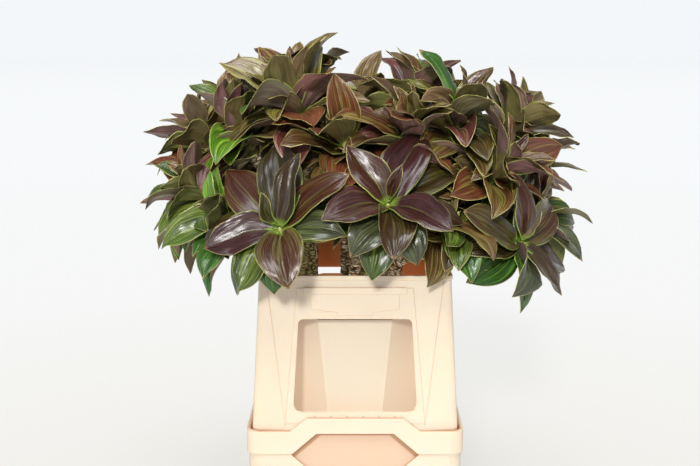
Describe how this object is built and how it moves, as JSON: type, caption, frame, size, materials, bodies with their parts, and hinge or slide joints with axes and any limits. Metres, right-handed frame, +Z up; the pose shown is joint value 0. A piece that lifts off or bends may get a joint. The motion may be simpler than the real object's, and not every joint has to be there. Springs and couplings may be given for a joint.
{
  "type": "potted dracaena in a transport container",
  "caption": "Crowd of broad dark-leaved rosettes on scaly canes, rooted in a bevelled pot inside a two-part plastic transport bucket with a windowed collar.",
  "frame": {"origin": "middle of the bucket's underside, on the surface it stands on", "axes": "+Z up; the windowed front with the card plate faces -Y; +X to the right seen from the front"},
  "size_m": [0.6771, 0.6465, 0.7774],
  "materials": {
    "cream_plastic": "satin",
    "pot_plastic": "satin",
    "growing_medium": "matte",
    "cane_bark": "matte",
    "leaf": "satin"
  },
  "bodies": {
    "root": {"bucket": "cream_plastic", "collar": "cream_plastic", "inner_pot": "pot_plastic", "soil": "growing_medium", "cane_01": "cane_bark", "crown_01": "leaf", "cane_02": "cane_bark", "crown_02": "leaf", "cane_03": "cane_bark", "crown_03": "leaf", "cane_04": "cane_bark", "crown_04": "leaf", "cane_05": "cane_bark", "crown_05": "leaf", "cane_06": "cane_bark", "crown_06": "leaf", "cane_07": "cane_bark", "crown_07": "leaf", "cane_08": "cane_bark", "crown_08": "leaf", "cane_09": "cane_bark", "crown_09": "leaf", "cane_10": "cane_bark", "crown_10": "leaf", "cane_11": "cane_bark", "crown_11": "leaf", "cane_12": "cane_bark", "crown_12": "leaf", "cane_13": "cane_bark", "crown_13": "leaf", "cane_14": "cane_bark", "crown_14": "leaf", "cane_15": "cane_bark", "crown_15": "leaf", "cane_16": "cane_bark", "crown_16": "leaf", "cane_17": "cane_bark", "crown_17": "leaf", "cane_18": "cane_bark", "crown_18": "leaf", "cane_19": "cane_bark", "crown_19": "leaf", "cane_20": "cane_bark", "crown_20": "leaf", "cane_21": "cane_bark", "crown_21": "leaf", "cane_22": "cane_bark", "crown_22": "leaf", "cane_23": "cane_bark", "crown_23": "leaf", "cane_24": "cane_bark", "crown_24": "leaf", "cane_25": "cane_bark", "crown_25": "leaf", "cane_26": "cane_bark", "crown_26": "leaf", "cane_27": "cane_bark", "crown_27": "leaf", "cane_28": "cane_bark", "crown_28": "leaf"}
  },
  "joints": []
}
